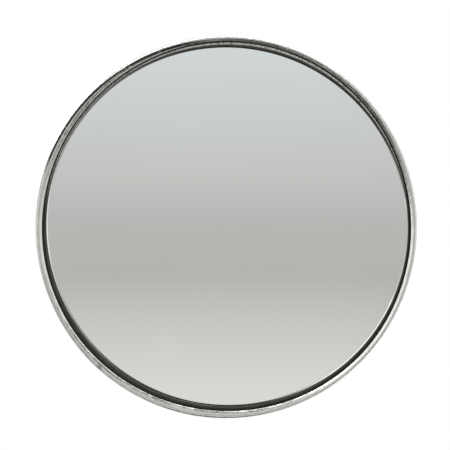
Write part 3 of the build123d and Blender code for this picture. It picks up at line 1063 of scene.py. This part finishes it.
class Joint:
    """One kind of bolted joint: where its heads and nuts stand, and how thick the stack between them is."""

    def __init__(self, name, plural, size, heads, nuts, span, body, head_washer=True):
        self.name, self.plural, self.size, self.heads, self.nuts = name, plural, size, heads, nuts
        self.span, self.body, self.head_washer = span, body, head_washer

    def build(self, finish):
        """Makes the bolts, washers, spring washers and nuts as four pieces."""
        size = self.size
        under_head = size.washer if self.head_washer else 0.0
        grip = self.span + under_head + size.washer + size.spring + size.nut
        bolts, washers, springs, nuts = (bmesh.new() for _ in range(4))
        for i, (head, nut) in enumerate(zip(self.heads, self.nuts)):
            # Each head and nut stays at its own angle, as a spanner leaves it.
            spin = math.radians(17 + 38 * i)
            add_bolt(bolts, size, head @ Matrix.Translation((0, 0, under_head)), grip, spin)
            bore = size.diameter / 2 + 0.0003
            for place in (head, nut) if self.head_washer else (nut,):
                add_ring(washers, place, bore, size.washer_radius, size.washer)
            on_washer = nut @ Matrix.Translation((0, 0, size.washer)) @ Matrix.Rotation(spin * 3, 4, "Z")
            add_spring(springs, on_washer, bore, size.spring_radius, size.spring)
            add_nut(nuts, size, on_washer @ Matrix.Translation((0, 0, size.spring)), spin)
        made = (
            (f"{self.name}_bolt{self.plural}", bolts), (f"{self.name}_washers", washers),
            (f"{self.name}_spring_washer{self.plural}", springs), (f"{self.name}_nut{self.plural}", nuts),
        )
        for node, bm in made:
            finished(node + "_plated", bm, finish, self.body, [node], 28)


class CONVEX_MIRROR_OT_fasteners(Operator):
    """Hex bolts with rolled threads, washers, split spring washers and nuts"""

    bl_idname = "convex_mirror.fasteners"
    bl_label = "Fasteners"

    def execute(self, context):
        finish = material_of("zinc_plating")
        lug_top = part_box("pan_washers")[1].z - M10.washer
        clamp_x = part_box("clamp_washers")[1].x - M8.washer_radius
        clamp_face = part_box("clamp_washers")[1].y - M8.washer
        yoke_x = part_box("yoke_washers")[1].x - M6.washer_radius
        yoke_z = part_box("yoke_washers")[1].z - M6.washer_radius
        yoke_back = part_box("yoke_washers")[0].y
        yoke_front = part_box("yoke_bolts")[0].y + M6.head
        corners = [(x, z) for x in (-yoke_x, yoke_x) for z in (-yoke_z, yoke_z)]
        ear_face = ear_outside - M10.washer
        kinds = (
            Joint(
                "pan", "", M10,
                [standing((0, pan_y, lug_top), (0, 0, 1))],
                [standing((0, pan_y, -lug_top), (0, 0, -1))],
                2 * lug_top, "pole_bracket",
            ),
            Joint(
                "tilt", "", M10,
                [standing((ear_face, tilt_y, 0), (1, 0, 0))],
                [standing((-ear_face, tilt_y, 0), (-1, 0, 0))],
                2 * ear_face, "mirror_head",
            ),
            Joint(
                "clamp", "s", M8,
                [standing((x, -clamp_face, 0), (0, -1, 0)) for x in (-clamp_x, clamp_x)],
                [standing((x, clamp_face, 0), (0, 1, 0)) for x in (-clamp_x, clamp_x)],
                2 * clamp_face, "pole_bracket",
            ),
            Joint(
                "yoke", "s", M6,
                [standing((x, yoke_front, z), (0, -1, 0)) for x, z in corners],
                [standing((x, yoke_back, z), (0, 1, 0)) for x, z in corners],
                yoke_back - yoke_front, "mirror_head", head_washer=False,
            ),
        )
        for kind in kinds:
            kind.build(finish)
        return {"FINISHED"}


class CONVEX_MIRROR_OT_bushes(Operator):
    """Flanged nylon bushes pressed into the arm's barrels"""

    bl_idname = "convex_mirror.bushes"
    bl_label = "Bushes"

    def execute(self, context):
        back = context.scene.convex_mirror.back
        barrel, deep, flange = back.bush_radius, back.bush_length, back.bush_flange
        for node, axis in (("pan_bushes", Vector((0, 0, 1))), ("tilt_bushes", Vector((1, 0, 0)))):
            low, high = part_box(node)
            middle = (low + high) / 2
            end = (high - middle).dot(axis) - flange
            bore, outer = M10.diameter / 2 + 0.00005, (high - middle).y
            outline = [(bore, -deep), (bore, flange - 0.0002), (bore + 0.0002, flange)]
            outline += [(outer - 0.0004, flange), (outer, flange - 0.0004), (outer, 0.0)]
            outline += [(barrel, 0.0), (barrel, -deep)]
            bm = bmesh.new()
            for side in (1, -1):
                turn(bm, outline, standing(middle + axis * end * side, axis * side), full_circle(64))
            finished(node + "_nylon", bm, material_of("natural_nylon"), "arm", [node], 30)
        return {"FINISHED"}


def add_bead(bm, points, radius, ripple=0.0016):
    """A rippled weld bead along a line of points, with domed ends."""
    line = [Vector(p) for p in points]
    lengths = [(b - a).length for a, b in zip(line, line[1:])]
    total = sum(lengths)
    count = max(8, round(total / ripple * 5))
    rings = []
    for i in range(count + 1):
        at = total * i / count
        left, k = at, 0
        while k < len(lengths) - 1 and left > lengths[k]:
            left -= lengths[k]
            k += 1
        centre = line[k].lerp(line[k + 1], min(1.0, left / lengths[k]))
        along = (line[k + 1] - line[k]).normalized()
        side = along.orthogonal().normalized()
        over = along.cross(side)
        # Ripples along the bead, with a slower unevenness of the hand.
        scale = 0.93 + 0.06 * abs(math.sin(math.pi * at / ripple)) + 0.04 * math.sin(at * 700)
        end = min(at, total - at)
        if end < radius:
            scale *= math.sqrt(max(0.02, 1 - (1 - end / radius) ** 2))
        ring = []
        for j in range(12):
            t = 2 * math.pi * j / 12
            spoke = side * math.cos(t) + over * math.sin(t)
            ring.append(bm.verts.new(centre + spoke * radius * scale))
        rings.append(ring)
    for before, after in zip(rings, rings[1:]):
        for j in range(12):
            k = (j + 1) % 12
            bm.faces.new((before[j], before[k], after[k], after[j]))
    bm.faces.new(rings[0])
    bm.faces.new(rings[-1])


class CONVEX_MIRROR_OT_welds(Operator):
    """Weld beads where the yoke's ears, the arm's web and the clamp's lugs are joined on"""

    bl_idname = "convex_mirror.welds"
    bl_label = "Welds"

    def execute(self, context):
        finish = material_of("weld_zinc")
        back = context.scene.convex_mirror.back
        yoke, arm, clamp = bmesh.new(), bmesh.new(), bmesh.new()
        ear_face = ear_outside - M10.washer
        lug_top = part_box("pan_washers")[1].z - M10.washer
        plate_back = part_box("yoke_washers")[0].y
        strip = -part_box("rear_clamp")[1].y
        barrel, web, tall = back.barrel, back.web_half, back.web_tall
        steps = (-0.95, -0.6, -0.3, 0, 0.3, 0.6, 0.95)
        bends = [back.lug_half * t for t in (-1, -0.7, -0.35, 0, 0.35, 0.7, 1)]

        def round_barrel(offset):
            """How far the barrel's surface lies from its axis, beside a point this far off the axis."""
            return math.sqrt(barrel**2 - offset**2)

        for side in (-1, 1):
            for x in (ear_face, ear_face - back.plate):
                root = [(x * side, plate_back, -back.ear_half), (x * side, plate_back, back.ear_half)]
                add_bead(yoke, root, back.ear_bead)
            behind = pan_y - round_barrel(web)
            ahead = tilt_y + round_barrel(tall)
            add_bead(arm, [(web * side, behind, -tall), (web * side, behind, tall)], back.bead)
            add_bead(arm, [(web * side, tilt_y + round_barrel(tall * t), tall * t) for t in steps], back.bead)
            add_bead(arm, [(web * t, pan_y - round_barrel(web * t), tall * side) for t in steps], back.bead)
            add_bead(arm, [(-web, ahead, tall * side), (web, ahead, tall * side)], back.bead)
            for z in (lug_top, lug_top - back.plate):
                add_bead(clamp, [(x, -math.sqrt(strip**2 - x**2), z * side) for x in bends], back.bead)
        finished("yoke_welds", yoke, finish, "mirror_head", sharp=60)
        finished("arm_welds", arm, finish, "arm", sharp=60)
        finished("clamp_welds", clamp, finish, "pole_bracket", sharp=60)
        return {"FINISHED"}


# ---------------------------------------------------------------- stage
class CONVEX_MIRROR_OT_stage(Operator):
    """Camera, surroundings, lamps and a pale floor"""

    bl_idname = "convex_mirror.stage"
    bl_label = "Stage"

    def execute(self, context):
        stage = context.scene.convex_mirror.stage
        self.camera(context, stage)
        self.surroundings(context)
        self.lamps(context)
        self.floor(context, stage)
        context.scene.view_settings.view_transform = "Standard"
        return {"FINISHED"}

    def camera(self, context, stage):
        """Stands the camera where the hoop fills its share of the view."""
        lens = bpy.data.cameras.new("camera")
        lens.lens = stage.lens
        lens.sensor_width = 36.0
        lens.clip_start, lens.clip_end = 0.05, 50.0
        camera = bpy.data.objects.new("camera", lens)
        context.scene.collection.objects.link(camera)
        width = 2 * hoop_radius / stage.rim_share
        distance = width * stage.lens / lens.sensor_width
        across, up = math.cos(stage.elevation), math.sin(stage.elevation)
        back = Vector((math.sin(stage.azimuth) * across, -math.cos(stage.azimuth) * across, up))
        aim = Vector((-stage.aim_left, flange_back_y - rubber_front, stage.aim_up))
        camera.location = aim + back * distance
        camera.rotation_mode = "QUATERNION"
        camera.rotation_quaternion = (-back).to_track_quat("-Z", "Y")
        context.scene.camera = camera

    # Sine of the elevation, and the light that comes from there: white table, grey room, bright ceiling.
    room = (
        (-0.60, (0.80, 0.80, 0.765)),
        (-0.38, (0.664, 0.667, 0.634)),
        (-0.20, (0.524, 0.528, 0.499)),
        (0.00, (0.545, 0.542, 0.531)),
        (0.18, (0.628, 0.638, 0.62)),
        (0.61, (0.733, 0.777, 0.781)),
        (0.90, (1.05, 1.06, 1.06)),
    )
    # Walls out to the sides: clock angle as seen from the front, and how bright the wall is there.
    # The sheet's turned edge mirrors the edge walls, the hoop's lip the near ones, its outside the far ones.
    edge_walls = (
        (-180, 0.01), (-125, 0.02), (-108, 0.35), (-95, 1.1), (-60, 1.2), (-28, 1.2), (-14, 0.3),
        (-4, 0.02), (62, 0.02), (76, 0.5), (88, 1.1), (98, 0.8), (110, 0.25), (120, 0.02), (180, 0.01),
    )
    near_walls = (
        (-180, 0.07), (-150, 0.07), (-120, 0.12), (-105, 0.40), (-92, 1.1), (-60, 1.2), (-25, 1.15),
        (0, 0.98), (30, 1.1), (60, 1.15), (90, 0.80), (120, 0.56), (150, 0.42), (165, 0.26), (180, 0.07),
    )
    far_walls = (
        (-180, 0.12), (-170, 0.3), (-158, 0.85), (-90, 0.8), (-78, 0.4), (-66, 0.06), (-32, 0.06),
        (-20, 0.6), (-10, 1.2), (60, 1.2), (90, 1.0), (158, 0.85), (170, 0.3), (180, 0.12),
    )

    def surroundings(self, context):
        """A studio for light and reflections, with plain white behind the object in the camera's own view."""
        world = bpy.data.worlds.new("studio")
        world.use_nodes = True
        context.scene.world = world
        tree = world.node_tree
        tree.nodes.clear()
        direction = split(tree, tree.nodes.new("ShaderNodeTexCoord").outputs["Generated"])
        height = mapped(tree, direction["Z"], -1.0, 1.0)
        room = colour_ramp(tree, height, [((sine + 1) / 2, light) for sine, light in self.room])
        clock = worked(tree, "ARCTAN2", direction["X"], direction["Z"])
        whole_turn = mapped(tree, clock, -math.pi, math.pi)

        def walls(levels):
            stops = [((clock + 180) / 360, (level, level, level * 0.985)) for clock, level in levels]
            return colour_ramp(tree, whole_turn, stops)

        lit = room
        # Each zone takes over as a direction's Y goes from -1, straight ahead of the mirror, to 1, behind it.
        for colour, start, full in (
            (walls(self.edge_walls), -0.71, -0.64),
            (walls(self.near_walls), -0.54, -0.50),
            (walls(self.far_walls), -0.30, -0.18),
            (room, 0.30, 0.50),
        ):
            lit = blend(tree, mapped(tree, direction["Y"], start, full), lit, colour)
        seen = tree.nodes.new("ShaderNodeLightPath")
        shown = blend(tree, seen.outputs["Is Camera Ray"], lit, (1.0, 1.0, 1.0))
        glow = add_node(tree, "ShaderNodeBackground", {"Color": shown})
        add_node(tree, "ShaderNodeOutputWorld", {"Surface": glow.outputs[0]})

    def lamps(self, context):
        """Two soft boxes: a strip above the front, and one behind on the left for the back of the dish."""
        for name, place, size, power in (
            ("strip_front", (0.1, -0.58, 1.5), (2.4, 0.42), 11.0),
            ("box_back", (-1.1, 1.3, 1.0), (1.0, 1.0), 14.0),
        ):
            light = bpy.data.lights.new(name, "AREA")
            light.shape = "RECTANGLE"
            light.size, light.size_y = size
            light.energy = power
            lamp = bpy.data.objects.new(name, light)
            context.scene.collection.objects.link(lamp)
            lamp.location = place
            lamp.rotation_mode = "QUATERNION"
            to_mirror = Vector((0, flange_back_y, 0)) - Vector(place)
            lamp.rotation_quaternion = to_mirror.to_track_quat("-Z", "Y")

    def floor(self, context, stage):
        """A round pale floor whose edge fades away."""
        bm = bmesh.new()
        radius = stage.floor_radius
        outline = [(0.0, 0.0), (radius / 2, 0.0), (radius, 0.0)]
        turn(bm, outline, Matrix.Translation((0, 0, -stage.floor_drop)), full_circle(96), closed=False)
        mesh = bpy.data.meshes.new("floor")
        bm.to_mesh(mesh)
        bm.free()
        floor = bpy.data.objects.new("floor", mesh)
        context.scene.collection.objects.link(floor)
        material, tree, shader, position = new_material("pale_floor", Roughness=0.9, Specular_IOR_Level=0.1)
        shader.inputs["Base Color"].default_value = (0.93, 0.93, 0.93, 1.0)
        parts = split(tree, position)
        flat = add_node(tree, "ShaderNodeCombineXYZ", {"X": parts["X"], "Y": parts["Y"]})
        away = vector_step(tree, "LENGTH", flat.outputs[0])["Value"]
        fade = mapped(tree, away, radius * 0.3, radius * 0.97, 1.0, 0.0, smooth=True)
        feed(tree, shader.inputs["Alpha"], fade)
        mesh.materials.append(material)
        floor.visible_glossy = False


# ---------------------------------------------------------------- panel and registration
class CONVEX_MIRROR_PT_panel(Panel):
    """Lists the makers of the convex mirror's pieces"""

    bl_idname = "CONVEX_MIRROR_PT_panel"
    bl_label = "Convex Mirror"
    bl_space_type = "VIEW_3D"
    bl_region_type = "UI"
    bl_category = "Convex Mirror"

    def draw(self, context):
        for step in makers:
            self.layout.operator(step.bl_idname)


settings_groups = (FaceSettings, RimSettings, BackSettings, StageSettings, MirrorSettings)
makers = (
    CONVEX_MIRROR_OT_stage, CONVEX_MIRROR_OT_face, CONVEX_MIRROR_OT_rubber_edge, CONVEX_MIRROR_OT_hoop,
    CONVEX_MIRROR_OT_dish, CONVEX_MIRROR_OT_bracket, CONVEX_MIRROR_OT_bushes, CONVEX_MIRROR_OT_fasteners,
    CONVEX_MIRROR_OT_welds,
)


def register():
    """Registers the settings, the makers and the panel."""
    for group in settings_groups + makers + (CONVEX_MIRROR_PT_panel,):
        bpy.utils.register_class(group)
    bpy.types.Scene.convex_mirror = PointerProperty(type=MirrorSettings)


def unregister():
    """Takes the settings, the makers and the panel away."""
    del bpy.types.Scene.convex_mirror
    for group in reversed(settings_groups + makers + (CONVEX_MIRROR_PT_panel,)):
        bpy.utils.unregister_class(group)


def main():
    register()
    for step in makers:
        area, name = step.bl_idname.split(".")
        getattr(getattr(bpy.ops, area), name)()


if __name__ == "__main__":
    main()
